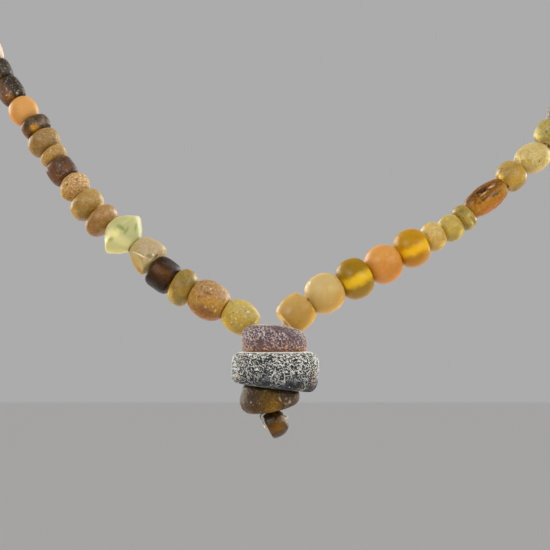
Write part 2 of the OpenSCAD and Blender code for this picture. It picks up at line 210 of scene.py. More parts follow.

# The beads of the left strand and then of the right, both from the drop outward, and the drop
# Under tones, films, glow bands and many marks of these beads paint light and shade.
GLASSES = {
    "bead_left_01": Glass(
        body=(198, 174, 84), underside_shade_glow=(176, 138, 24), film_and_sheen=(212, 192, 124), clear=0.4, lumps=0.45,
        pits=0.5, pit_tone=(134, 106, 44), specks=0.95, grain=0.55, core=(214, 184, 84), rim=1.0,
        band=0.45,
        marks=[
            Mark(-1.7, 1.2, 0.28, (60, 44, 20)), Mark(2.0, 1.5, 0.35, (250, 236, 200)),
            Mark(0.8, 2.6, 0.25, (244, 230, 190)), Mark(-0.9, -1.2, 0.25, (240, 222, 160)),
            Mark(-1.2, -0.2, 0.3, (246, 232, 176)), Mark(0.3, -1.9, 0.28, (244, 228, 170)),
            Mark(-2.2, 0.4, 0.26, (240, 222, 160)), Mark(1.3, 0.4, 0.24, (244, 230, 180)),
        ],
    ),
    "bead_left_02": Glass(
        body=(178, 136, 64), underside_shade_glow=(152, 92, 10), film_and_sheen=(192, 154, 106), film_sheen_share=0.85, lumps=0.5,
        pits=0.6, pit_size=0.8, pit_depth=0.2, pit_tone=(134, 84, 44), specks=0.7, grain=0.8,
        core=(224, 172, 70), rim=0.5, band=0.35,
        marks=[
            Mark(-0.4, 2.0, 0.5, (136, 88, 48), 0.8, 3, -25),
            Mark(-1.9, 0.9, 0.5, (156, 104, 52), 0.6, 2),
            # The golden and amber patches at the right and lower left are painted glow through the
            # glass.
            Mark(1.6, -0.1, 1.1, (220, 172, 72), 0.5, 1.8, -30),
            Mark(-1.4, -2.2, 0.9, (146, 84, 34), 0.5, 1.8, -20),
            Mark(0.4, 2.9, 0.3, (250, 232, 196)), Mark(-0.9, -1.6, 0.3, (246, 222, 170)),
            Mark(1.5, -2.6, 0.3, (244, 214, 150)),
        ],
    ),
    "bead_left_03": Glass(
        body=(166, 138, 54), underside_shade_glow=(146, 114, 28), film_and_sheen=(148, 126, 70), clear=0.5, rough=0.34,
        pit_tone=OCHRE_PIT, specks=0.4, core=(188, 150, 62), rim=1.0, band=0.6,
    ),
    "bead_left_04": Glass(
        body=(44, 26, 10), underside_shade_glow=(38, 22, 6), film_and_sheen=(52, 36, 18), film_sheen_share=0.7, rough=0.36, pits=0.5,
        pit_tone=(26, 18, 12), specks=0.15, speck_tone=(110, 104, 100), grain=0.7,
        core=(90, 50, 14), shine=0.08, band=0.4, **DARK,
        marks=[
            # The amber patches are painted glow through the glass, the grey one at the upper right
            # a painted sheen.
            Mark(-0.1, 0.9, 1.5, (112, 66, 6), 0.75, 2.2, -35),
            Mark(1.6, -2.8, 0.7, (150, 92, 10), 0.7, 3, 60),
            Mark(1.9, 2.6, 0.9, (96, 88, 84), 0.5, 2, -40),
            Mark(-2.4, -1.4, 1.0, (56, 34, 16), 0.5),
        ],
    ),
    "bead_left_05": Glass(
        body=(188, 168, 126), underside_shade_glow=(160, 130, 50), film_and_sheen=(188, 168, 138), clear=0.25, rough=0.36,
        lumps=0.05, pits=0.15, pit_tone=OCHRE_PIT, specks=0.2, grain=0.4, core=(196, 168, 92),
        rim=1.0, band=0.2,
        marks=[
            Mark(-2.2, -3.4, 0.9, (150, 78, 12)),
            # A painted highlight along the ridge.
            Mark(-1.9, 0.2, 0.24, (246, 232, 204), 0.85, 12, -26),
            Mark(-2.6, 1.6, 1.2, (196, 166, 150), 0.6),
            Mark(3.9, 0.8, 0.35, (250, 232, 184), 0.8, 2, -50),
            # A painted shadow in the chip and a painted glint beside it.
            Mark(2.2, -0.05, 0.75, (34, 20, 10), 0.95), Mark(1.4, 0.2, 0.24, (255, 250, 236), 0.95),
            Mark(-2.6, -1.4, 1.0, (170, 138, 50), 0.6, 2, -70),
        ],
    ),
    "bead_left_06": Glass(
        body=(180, 176, 128), underside_shade_glow=(196, 180, 102), film_and_sheen=(168, 170, 116), clear=0, rough=0.3,
        lumps=0.12, pits=0, specks=0.1, speck_tone=(224, 226, 186), grain=0, core=(240, 228, 160),
        core_light=0.1, rim=0.8, band=0.3, soft=8,
        marks=[
            Mark(-0.7, 2.0, 0.7, (122, 134, 66), 0.7, 2.4, -40),
            Mark(0.9, 1.0, 0.5, (126, 138, 74), 0.6, 2.4, 60),
            Mark(3.3, 2.0, 0.4, (128, 140, 84), 0.7, 4, 80),
            Mark(-3.0, -1.2, 0.6, (136, 142, 76), 0.6, 1.6, 40),
            Mark(-1.6, 0.2, 0.8, (222, 216, 140), 0.7, 1.6, 50),
        ],
    ),
    "bead_left_07": Glass(
        body=(174, 130, 52), underside_shade_glow=(138, 92, 8), film_and_sheen=(196, 158, 108), film_sheen_share=0.85, clear=0.5,
        rough=0.34, pits=0.4, pit_tone=OCHRE_PIT, specks=0.6, grain=0.6, core=(176, 128, 60),
        rim=1.0, band=0.35,
    ),
    "bead_left_08": Glass(
        body=(172, 136, 58), underside_shade_glow=(148, 108, 16), film_and_sheen=(204, 170, 106), film_sheen_share=0.8, clear=0.5,
        rough=0.34, pits=0.4, pit_tone=OCHRE_PIT, specks=0.6, grain=0.6, core=(180, 140, 62),
        rim=1.0, band=0.3,
    ),
    "bead_left_09": Glass(
        body=(226, 180, 108), underside_shade_glow=(200, 146, 54), film_and_sheen=(250, 214, 160), clear=0.2, rough=0.55,
        lumps=0.5, pits=1.0, pit_size=0.8, pit_depth=0.34, pit_tone=(100, 60, 24), specks=1.0,
        grain=1.0, streaks=0.5,
    ),
    "bead_left_10": Glass(
        body=(88, 54, 22), underside_shade_glow=(86, 48, 8), film_and_sheen=(96, 70, 52), film_sheen_share=0.8, rough=0.4, pits=0.4,
        pit_tone=DARK_PIT, specks=0, grain=0.6, core=(136, 82, 32), shine=0.15, band=0.4, **DARK,
        marks=[
            Mark(1.6, 0.9, 1.1, (146, 92, 52), 0.6),
            # The amber streak low down is painted glow through the glass.
            Mark(0.3, -2.2, 1.0, (128, 74, 14), 0.6, 2, 30),
            Mark(2.9, 0.3, 0.8, (62, 46, 38), 0.6, 2, -60),
        ],
    ),
    "bead_left_11": Glass(
        body=(190, 150, 74), underside_shade_glow=(158, 120, 52), film_and_sheen=(192, 158, 108), pits=0.6,
        pit_tone=OCHRE_PIT, specks=0.5, grain=0.6, core=(180, 142, 70), rim=1.0, band=0.3,
    ),
    "bead_left_12": Glass(
        body=(152, 114, 48), underside_shade_glow=(136, 98, 32), film_and_sheen=(176, 146, 96), film_sheen_share=0.8, pits=0.7,
        pit_tone=(96, 70, 34), specks=0.5, grain=0.6, core=(160, 122, 56), rim=1.0, band=0.3,
    ),
    "bead_left_13": Glass(
        body=(92, 62, 24), underside_shade_glow=(112, 74, 22), film_and_sheen=(84, 68, 46), film_sheen_share=0.7, rough=0.36, pits=0.4,
        pit_tone=DARK_PIT, specks=0.2, grain=0.6, core=(130, 90, 30), band=0.3, **DARK,
        marks=[
            # The amber spot is painted glow through the glass, the grey patch at the upper right a
            # painted sheen.
            Mark(0.1, -0.6, 1.1, (226, 158, 30), 0.85, 1.3, -50),
            Mark(1.8, 1.1, 1.0, (150, 138, 122), 0.6, 1.5, 40),
            Mark(-2.4, 0.6, 0.9, (60, 42, 22), 0.6, 1.5, 60),
        ],
    ),
    "bead_left_14": Glass(
        body=(184, 134, 68), underside_shade_glow=(178, 114, 28), film_and_sheen=(200, 152, 90), clear=0, lumps=0.04,
        specks=0.05, rim=0.65, **SATIN,
    ),
    "bead_left_15": Glass(
        body=(92, 64, 36), underside_shade_glow=(84, 50, 14), film_and_sheen=(56, 46, 38), film_sheen_share=0.8, rough=0.36, pits=0.4,
        pit_tone=DARK_PIT, specks=0.05, grain=0.7, core=(140, 92, 34), band=0.4, **DARK,
        marks=[
            # The amber patch is painted glow through the glass.
            Mark(0.2, -1.6, 0.9, (176, 116, 30), 0.8, 2, -40),
            Mark(2.2, 1.6, 1.3, (40, 34, 32), 0.75, 2, -50),
            Mark(-1.0, 0.0, 1.2, (116, 88, 66), 0.6, 1.6, -45),
            Mark(-0.9, -1.3, 0.25, (236, 220, 190), 0.85),
            Mark(2.0, -0.7, 0.3, (206, 200, 190), 0.6, 2, -40),
        ],
    ),
    "bead_left_16": Glass(
        body=(64, 46, 26), underside_shade_glow=(84, 52, 14), film_and_sheen=(50, 42, 36), film_sheen_share=0.8, rough=0.38, pits=0.4,
        pit_tone=DARK_PIT, specks=0, grain=0.7, core=(120, 80, 24), band=0.3, **DARK,
        marks=[
            # The amber spot is painted glow through the glass, the grey patch at the upper right a
            # painted sheen.
            Mark(-0.6, -1.3, 1.2, (206, 134, 30), 0.85, 1.4, 50),
            Mark(1.4, 1.2, 0.8, (104, 96, 90), 0.5, 2, -40),
        ],
    ),
    "bead_left_17": Glass(
        body=(210, 190, 164), underside_shade_glow=(198, 164, 124), film_and_sheen=(226, 206, 190), clear=0.1, rough=0.4,
        lumps=0.15, pits=0.1, specks=0.1, grain=0.25,
    ),
    "bead_right_01": Glass(
        body=(196, 158, 78), underside_shade_glow=(192, 148, 42), film_and_sheen=(200, 168, 104), clear=0.4, rough=0.38,
        lumps=0.35, pits=0, specks=0.2, grain=0.15, core=(196, 160, 84), shine=0.15, scatter=2.2,
        rim=1.0, band=0.3,
    ),
    "bead_right_02": Glass(
        body=(194, 164, 98), underside_shade_glow=(194, 148, 62), film_and_sheen=(204, 182, 130), clear=0.2, lumps=0.04,
        specks=0.05, core=(214, 180, 110), rim=1.0, **SATIN,
    ),
    # The band and the hole wall's emission paint its bright glow along the hole.
    "bead_right_03": Glass(
        body=(146, 112, 0), underside_shade_glow=(140, 104, 0), film_and_sheen=(142, 108, 2), clear=0.12, lumps=0.2,
        specks=0, core=(224, 184, 30), core_light=0.2, rim=0.8, band=0.85, **SATIN,
    ),
    "bead_right_04": Glass(
        body=(190, 130, 54), underside_shade_glow=(178, 110, 22), film_and_sheen=(212, 160, 88), clear=0.1, lumps=0.04,
        specks=0.05, rim=1.0, **SATIN,
    ),
    # The band and the hole wall's emission paint its bright glow along the hole.
    "bead_right_05": Glass(
        body=(176, 126, 0), underside_shade_glow=(164, 108, 0), film_and_sheen=(176, 134, 0), clear=0.15, lumps=0.04,
        specks=0, core=(232, 184, 14), core_light=0.2, rim=0.8, band=0.75, **SATIN,
    ),
    "bead_right_06": Glass(
        body=(226, 196, 110), underside_shade_glow=(192, 152, 60), film_and_sheen=(224, 196, 128), clear=0.5, rough=0.34,
        lumps=0.25, pit_tone=(160, 124, 62), specks=0.5, grain=0.6, core=(210, 178, 96), rim=1.0,
        band=0.25,
    ),
    "bead_right_07": Glass(
        body=(194, 168, 74), underside_shade_glow=(164, 134, 38), film_and_sheen=(214, 190, 116), clear=0.5, rough=0.34,
        lumps=0.15, pits=0.05, specks=0.05, grain=0.45, core=(218, 192, 96), rim=1.0, band=0.5,
    ),
    "bead_right_08": Glass(
        body=(168, 142, 50), underside_shade_glow=(144, 116, 18), film_and_sheen=(188, 166, 96), clear=0.5, rough=0.3,
        lumps=0.15, pits=0.2, pit_tone=(96, 82, 36), specks=0.1, grain=0.3, core=(196, 172, 80),
        rim=1.0, band=0.6,
        marks=[
            Mark(-1.0, 1.6, 0.6, (112, 98, 58), 0.7, 1.4, 40),
            Mark(1.75, -1.0, 0.22, (226, 212, 168), 0.85, 8, -50),
        ],
    ),
    "bead_right_09": Glass(
        body=(160, 106, 0), underside_shade_glow=(158, 92, 0), film_and_sheen=(116, 72, 12), film_sheen_share=0.8, clear=0.25,
        rough=0.26, pits=0.1, pit_tone=(86, 42, 14), specks=0, speck_tone=(220, 190, 160),
        core=(196, 142, 44), band=0.6,
        marks=[
            Mark(-1.2, 1.9, 0.7, (56, 28, 10), 0.9, 4, 32),
            Mark(1.3, 3.0, 0.3, (226, 188, 156), 0.8, 4, 25),
            Mark(-0.4, -0.2, 0.4, (86, 46, 16), 0.8, 5, 38),
            Mark(-5.0, -2.6, 0.9, (186, 148, 96), 0.7), Mark(4.9, 2.9, 0.9, (190, 152, 100), 0.7),
            Mark(-0.6, 1.2, 0.22, (222, 182, 132), 0.8, 6, 35),
            # The amber streak along the lower edge is painted glow through the glass.
            Mark(1.0, -2.2, 0.8, (196, 118, 6), 0.6, 5, 36),
            Mark(2.4, 1.2, 0.6, (72, 36, 12), 0.8, 3, 36),
        ],
    ),
    "bead_right_10": Glass(
        body=(190, 156, 62), underside_shade_glow=(140, 104, 30), film_and_sheen=(186, 156, 84), film_sheen_share=0.8, clear=0.5,
        rough=0.34, pits=0.6, pit_tone=(104, 82, 46), specks=0.6, grain=0.45, core=(228, 190, 64),
        rim=1.0, band=0.45,
    ),
    "bead_right_11": Glass(
        body=(214, 190, 114), underside_shade_glow=(188, 158, 82), film_and_sheen=(220, 200, 140), clear=0.4, rough=0.34,
        lumps=0.2, pit_size=0.35, pit_tone=(164, 138, 86), specks=0.3, grain=0.6, rim=1.0,
        marks=[
            Mark(1.7, -0.9, 0.26, (60, 46, 24)),
            Mark(-0.5, 0.8, 0.14, (222, 206, 164), 0.7, 12, 28),
            Mark(0.6, -0.6, 0.12, (224, 208, 168), 0.6, 12, 30),
        ],
    ),
    "bead_right_12": Glass(
        body=(184, 162, 78), underside_shade_glow=(190, 168, 100), film_and_sheen=(216, 198, 112), clear=0.5, rough=0.34,
        pits=0.4, pit_tone=(116, 106, 48), specks=0.4, grain=0.7,
        marks=[
            Mark(-0.9, 0.5, 0.5, (112, 100, 30), 0.8), Mark(0.5, -0.4, 0.4, (120, 108, 38), 0.7),
        ],
    ),
    "bead_right_13": Glass(
        body=(146, 134, 110), underside_shade_glow=(124, 106, 74), film_and_sheen=(152, 142, 124), clear=0.2, pits=0.4,
        pit_tone=DARK_PIT, specks=0.3, grain=0.7,
    ),
    "drop_bead_mauve": Glass(
        body=(196, 176, 166), underside_shade_glow=(216, 160, 112), film_and_sheen=(206, 190, 182), film_sheen_share=0.6, clear=0.05,
        rough=0.5, lumps=0.45, pits=0.8, pit_size=0.6, pit_depth=0.2, pit_tone=(92, 74, 80),
        specks=0.9, speck_tone=(222, 212, 204), grain=1.2, scatter=0.15, rim=0.1, streaks=1.0,
        marks=[
            Mark(-2.6, 1.5, 2.0, (222, 210, 202), 0.6, 1.6, -10),
            Mark(-6.5, 1.0, 1.5, (216, 206, 200), 0.55),
            Mark(1.2, 2.3, 1.0, (80, 58, 66), 0.7, 3, -8),
            Mark(4.4, 0.4, 1.2, (92, 72, 84), 0.65, 1.5, -40),
            Mark(-3.3, -1.3, 1.1, (70, 44, 52), 0.75, 1.3, 60),
            Mark(6.5, -1.0, 0.8, (48, 38, 46), 0.85, 1.4, 60),
            Mark(7.6, 0.2, 0.6, (234, 224, 216), 0.7, 2, 80),
            Mark(1.0, -2.3, 0.8, (176, 118, 76), 0.7, 4),
            Mark(4.2, -2.1, 0.6, (224, 194, 166), 0.6, 2),
            Mark(-7.0, -2.3, 0.8, (206, 162, 130), 0.6, 2),
            Mark(2.4, 0.6, 0.5, (220, 210, 208), 0.6, 2, 40),
        ],
    ),
    "drop_bead_grey": Glass(
        # Its dark under tone and pale film paint shade on the lower half and light on the upper
        # half.
        body=(202, 202, 194), underside_shade_glow=(50, 54, 58), film_and_sheen=(255, 250, 236), film_sheen_share=0.6, clear=0,
        rough=0.7, pits=0.7, pit_depth=0.2, pit_tone=(44, 44, 48), specks=0.5,
        speck_tone=(232, 226, 208), grain=1.2, shine=0.1, scatter=0.15, rim=0, streaks=1.0,
        marks=[
            # The pale warm patches at both ends, at 9.6, -9.3 and -8.0 across, are painted
            # highlights where the ends catch the light.
            Mark(5.0, -3.2, 1.2, (34, 30, 26), 0.5, 1.6, 20),
            Mark(9.6, -1.2, 0.8, (196, 152, 106), 0.55, 3, 75),
            Mark(8.9, -4.0, 0.6, (84, 54, 32), 0.8, 2, 40),
            Mark(-9.3, -1.5, 1.0, (206, 182, 148), 0.5, 1.5, 60),
            Mark(6.4, -4.3, 0.8, (214, 192, 160), 0.5, 1.8, 15),
            Mark(-1.8, 2.6, 1.6, (128, 134, 140), 0.4, 2, -10),
            Mark(-8.0, 3.0, 0.7, (216, 196, 160), 0.5, 2, 40),
        ],
    ),
    "drop_bead_brown": Glass(
        body=(80, 54, 14), underside_shade_glow=(80, 52, 12), film_and_sheen=(66, 46, 18), film_sheen_share=0.6, clear=0.25, rough=0.5,
        lumps=0.45, pits=0.8, pit_size=0.6, pit_depth=0.18, pit_tone=(44, 30, 14), specks=0.8,
        speck_tone=(176, 160, 130), grain=0.9, core=(140, 98, 20), scatter=0.5, rim=0.2,
        marks=[
            # The amber patches in the middle are painted glow through the glass.
            Mark(-0.3, -0.4, 2.3, (116, 84, 6), 0.8, 1.7, 88),
            Mark(1.0, -1.7, 1.6, (148, 106, 8), 0.75, 1.3, 60),
            Mark(2.6, 0.2, 0.25, (214, 184, 104), 0.8, 3, -60),
            Mark(5.0, -0.6, 0.6, (206, 190, 166), 0.7), Mark(4.0, 0.2, 0.4, (196, 180, 156), 0.6),
            Mark(-4.6, -0.6, 0.35, (210, 196, 170), 0.7), Mark(-4.4, 0.8, 1.4, (62, 50, 36), 0.6),
            Mark(4.6, 1.0, 1.2, (66, 54, 38), 0.6, 2),
            Mark(4.2, -1.0, 0.4, (190, 174, 150), 0.6, 2, -30),
        ],
    ),
    "drop_bead_stop": Glass(
        body=(56, 36, 6), underside_shade_glow=(52, 32, 4), film_and_sheen=(60, 42, 18), rough=0.34, lumps=0.2, pits=0.15,
        pit_tone=(40, 26, 10), specks=0.1, grain=0.4, core=(110, 70, 6), band=0.4, **DARK,
        marks=[
            # The two amber patches are painted glow through the glass, the pale one at the upper
            # right a painted sheen.
            Mark(0.9, -0.5, 1.5, (128, 86, 8), 0.8, 1.3, 60),
            Mark(2.1, 1.4, 0.7, (150, 136, 108), 0.65, 2, -50),
            Mark(-1.2, 1.4, 0.9, (30, 18, 6), 0.7, 1.6, 30),
            Mark(-1.0, -1.4, 0.9, (110, 72, 8), 0.6, 2, -50),
        ],
    ),
}

# The strings behind the photograph's edges, tan above and below
TAN = (206, 170, 104)
STRING = Glass(body=TAN, underside_shade_glow=TAN, film_and_sheen=(214, 190, 140), pits=0.4, pit_tone=(104, 74, 34))
STRING_SEEDS = {"back_beads_left": 41, "back_beads_right": 42}
STRING_STEP = 0.5


def light_value(display):
    """One display value from 0 to 255 as scene-linear light."""
    share = display / 255
    return share / 12.92 if share <= 0.04045 else ((share + 0.055) / 1.055) ** 2.4


def tone(red, green, blue):
    """A display colour as the four numbers that a colour socket takes."""
    return (light_value(red), light_value(green), light_value(blue), 1.0)


class Shade:
    """A shader socket that takes part in expressions, with numbers on either side."""

    def __init__(self, paint, socket):
        self.paint = paint
        self.socket = socket

    def maths(self, operation, *terms):
        return self.paint.node("ShaderNodeMath", {"operation": operation}, dict(enumerate(terms)))

    def __add__(self, other):
        return self.maths("ADD", self, other)

    def __sub__(self, other):
        return self.maths("SUBTRACT", self, other)

    def __rsub__(self, other):
        return self.maths("SUBTRACT", other, self)

    def __mul__(self, other):
        return self.maths("MULTIPLY", self, other)

    def __truediv__(self, other):
        return self.maths("DIVIDE", self, other)

    __radd__ = __add__
    __rmul__ = __mul__

    def size(self):
        """The value without its sign."""
        return self.maths("ABSOLUTE", self)

    def root(self):
        return self.maths("SQRT", self)

    def rise(self, low, high):
        """0 at low, 1 at high and smooth between them. High may be the smaller of the two."""
        sockets = {"Value": self, "From Min": low, "From Max": high}
        return self.paint.node("ShaderNodeMapRange", {"interpolation_type": "SMOOTHSTEP"}, sockets)


class Paint:
    """The nodes of one material. What is the same all over is set on the shader's own sockets."""

    def __init__(self, name, constants):
        self.material = bpy.data.materials.new(name)
        self.material.use_nodes = True
        self.tree = self.material.node_tree
        self.shader = self.tree.nodes["Principled BSDF"]
        for socket, value in constants.items():
            self.shader.inputs[socket].default_value = value

    def node(self, kind, settings, sockets, output=0):
        made = self.tree.nodes.new(kind)
        for name, value in settings.items():
            setattr(made, name, value)
        for name, value in sockets.items():
            self.feed(made.inputs[name], value)
        return Shade(self, made.outputs[output])

    def feed(self, socket, value):
        if isinstance(value, Shade):
            self.tree.links.new(value.socket, socket)
        else:
            socket.default_value = value

    def vector(self, operation, first, second, output=0):
        settings = {"operation": operation}
        return self.node("ShaderNodeVectorMath", settings, {0: first, 1: second}, output)

    def place(self, seed, stretch=(1, 1, 1)):
        """Where a point lies on the piece, in millimetres, moved to a patch of the seed's own."""
        spot = self.node("ShaderNodeTexCoord", {}, {}, output=3)
        spot = self.vector("MULTIPLY", spot, tuple(share / MM for share in stretch))
        return self.vector("ADD", spot, (seed * 17.3, seed * 5.9, seed * -11.1))

    def axis(self, place, name):
        return self.node("ShaderNodeSeparateXYZ", {}, {0: place}, output="XYZ".index(name))

    def cloud(self, place, per_mm, detail):
        """Soft noise, about 0.5 on average, with per_mm changes in a millimetre."""
        sockets = {"Vector": place, "Scale": per_mm, "Detail": detail}
        return self.node("ShaderNodeTexNoise", {}, sockets)

    def cells(self, place, per_mm):
        """Distance from the nearest of many scattered points, in cells."""
        return self.node("ShaderNodeTexVoronoi", {}, {"Vector": place, "Scale": per_mm})

    def blend(self, first, second, mask):
        sockets = {0: mask, 6: first, 7: second}
        return self.node("ShaderNodeMix", {"data_type": "RGBA"}, sockets, output=2)

    def shade_of(self, first, second):
        """One colour darkened by another."""
        settings = {"data_type": "RGBA", "blend_type": "MULTIPLY"}
        return self.node("ShaderNodeMix", settings, {0: 1.0, 6: first, 7: second}, output=2)

    def stored(self, name):
        """A value that the mesh keeps at each of its points."""
        return self.node("ShaderNodeAttribute", {"attribute_name": name}, {}, output=2)

    def relief(self, height, depth_mm, strength=1.0):
        sockets = {"Height": height, "Distance": depth_mm * MM, "Strength": strength}
        return self.node("ShaderNodeBump", {}, sockets)

    def cover(self, colour, roughness, normal):
        """Feeds the shader what changes over the surface."""
        self.feed(self.shader.inputs["Base Color"], colour)
        self.feed(self.shader.inputs["Roughness"], roughness)
        self.feed(self.shader.inputs["Normal"], normal)
        return self.material


def put(name, data):
    """A new object in the scene."""
    made = bpy.data.objects.new(name, data)
    bpy.context.scene.collection.objects.link(made)
    return made


def vectors_of(items, name):
    """One vector for each point or face of a mesh."""
    flat = np.zeros(len(items) * 3)
    items.foreach_get(name, flat)
    return flat.reshape(-1, 3)


def points_of(mesh):
    return vectors_of(mesh.vertices, "co")


def normals_of(mesh):
    return vectors_of(mesh.vertex_normals, "vector")


def keep_values(mesh, name, values):
    """Stores a value at each point of a mesh for its material."""
    stored = mesh.attributes.new(name, "FLOAT", "POINT")
    stored.data.foreach_set("value", np.asarray(values, np.float32))


def thread_axis(node):
    """The way of the hole through a bead: the flat end faces are square to it."""
    shares = {}
    for face in node.data.polygons:
        way = face.normal
        if way.x < 0 or (abs(way.x) < 1e-4 and way.z < 0):
            way = -way
        key = tuple(round(part, 2) for part in way)
        shares.setdefault(key, [0.0, Vector()])
        shares[key][0] += face.area
        shares[key][1] += way * face.area
    return max(shares.values(), key=lambda share: share[0])[1].normalized()


def bead_frame(node):
    """A frame at the bead's middle: +Z along its hole to the right and +Y to the back, with +X
    down. The upright beads of the drop have +Z up and +X to the right instead."""
    low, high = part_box(node.name)
    middle = (low + high) / 2
    along = Vector((0, 0, 1)) if node.name in UPRIGHT_BEADS else thread_axis(node)
    down = Vector((1, 0, 0)) if node.name in UPRIGHT_BEADS else Vector((0, 0, -1))
    across = (down - along * down.dot(along)).normalized()
    back = along.cross(across)
    turned = Matrix((across, back, along)).transposed().to_4x4()
    return Matrix.Translation(middle) @ turned


def fine_mesh(node, voxel, soft):
    """An even mesh of small quads over a CAD solid, with its sharp edges worn."""
    source = put(node.name + "_source", node.data.copy())
    remesh = source.modifiers.new("even", "REMESH")
    remesh.mode = "VOXEL"
    remesh.voxel_size = voxel * MM
    smooth = source.modifiers.new("worn", "SMOOTH")
    smooth.factor = 0.5
    smooth.iterations = soft
    graph = bpy.context.evaluated_depsgraph_get()
    mesh = bpy.data.meshes.new_from_object(source.evaluated_get(graph))
    bpy.data.objects.remove(source)
    return mesh


def crater(spot, size, cover):
    """How deep a point lies in one of many scattered round pits, from 0 to 1."""
    gap = noise.voronoi(spot / (size * PIT_SPACING))[0][0] * PIT_SPACING
    chance = noise.noise(spot * PIT_PATCHES) * 0.5 + 0.5
    reach = 1 - min(gap, 1.0)
    return reach * reach * min(1.0, max(0.0, (cover - chance) * 4 + 0.5))


def slit(spot):
    """How deep a point lies between thin slanting ridges, from 0 to 1."""
    along = spot.x * math.cos(SLIT_LEAN) + spot.z * math.sin(SLIT_LEAN)
    across = spot.z * math.cos(SLIT_LEAN) - spot.x * math.sin(SLIT_LEAN)
    place = Vector((along, spot.y, across)) * Vector(SLIT_STRETCH)
    value = abs(noise.noise(place) + 0.4 * noise.noise(place * 2.3))
    return min(1.0, max(0.0, value * 3.4 - 0.15))


def wear_down(mesh, glass, seed, way_in=None):
    """Moves the outside by lumps, wear and pits, and keeps how deep each point's pits are. A string
    of beads, which comes with each point's distance from the thread, is only worn inward."""
    points = points_of(mesh) / MM
    normals = normals_of(mesh)
    if way_in is None:
        from_hole = np.hypot(points[:, 0], points[:, 1])
        free = np.clip((FLAT_END - np.abs(normals[:, 2])) / FLAT_END_FADE, 0, 1)
        level = WEAR_LEVEL
    else:
        from_hole = way_in
        free = np.ones(len(points))
        level = 0.0
    outside = np.clip((from_hole - HOLE_REACH) / HOLE_FADE, 0, 1) * free
    shift = Vector((seed * 9.1, seed * -4.7, seed * 3.3))
    pits = np.zeros(len(points))
    slits = np.zeros(len(points))
    moved = np.zeros(len(points))
    for i, point in enumerate(points):
        if outside[i] <= 0:
            continue
        spot = Vector(point) + shift
        lump = noise.noise(spot / LUMP_SPAN) * 0.5 + 0.5 - level
        rub = noise.noise(spot / WEAR_SPAN) * 0.5 + 0.5 - level
        pits[i] = crater(spot, glass.pit_size, glass.pits) if glass.pits > 0 else 0
        slits[i] = slit(spot) if glass.streaks > 0 else 0
        moved[i] = glass.lumps * lump + WEAR_DEPTH * glass.grain * rub
        moved[i] += glass.pit_depth * pits[i] + SLIT_DEPTH * glass.streaks * slits[i]
    points -= normals * (moved * outside)[:, None]
    mesh.vertices.foreach_set("co", (points * MM).ravel())
    keep_values(mesh, "pit", pits * outside)
    keep_values(mesh, "slit", slits * outside)


def core_glass(name, glass):
    """The wall of the hole, whose faint emission paints the light that enters at the bead's ends.
    """
    constants = {
        "Roughness": 0.6,
        # Painted light: the hole wall glows faintly in its core tone
        "Emission Color": tone(*glass.core),
        "Emission Strength": glass.core_light,
    }
    paint = Paint(name + "_hole", constants)
    place = paint.place(len(name))
    dusty = paint.cloud(place, 1.6, 3).rise(0.35, 0.7)
    colour = paint.blend(tone(*glass.core), tone(*glass.body), dusty * 0.6)
    normal = paint.relief(paint.cloud(place, 3, 3), 0.05)
    return paint.cover(colour, 0.55 + dusty * 0.2, normal)


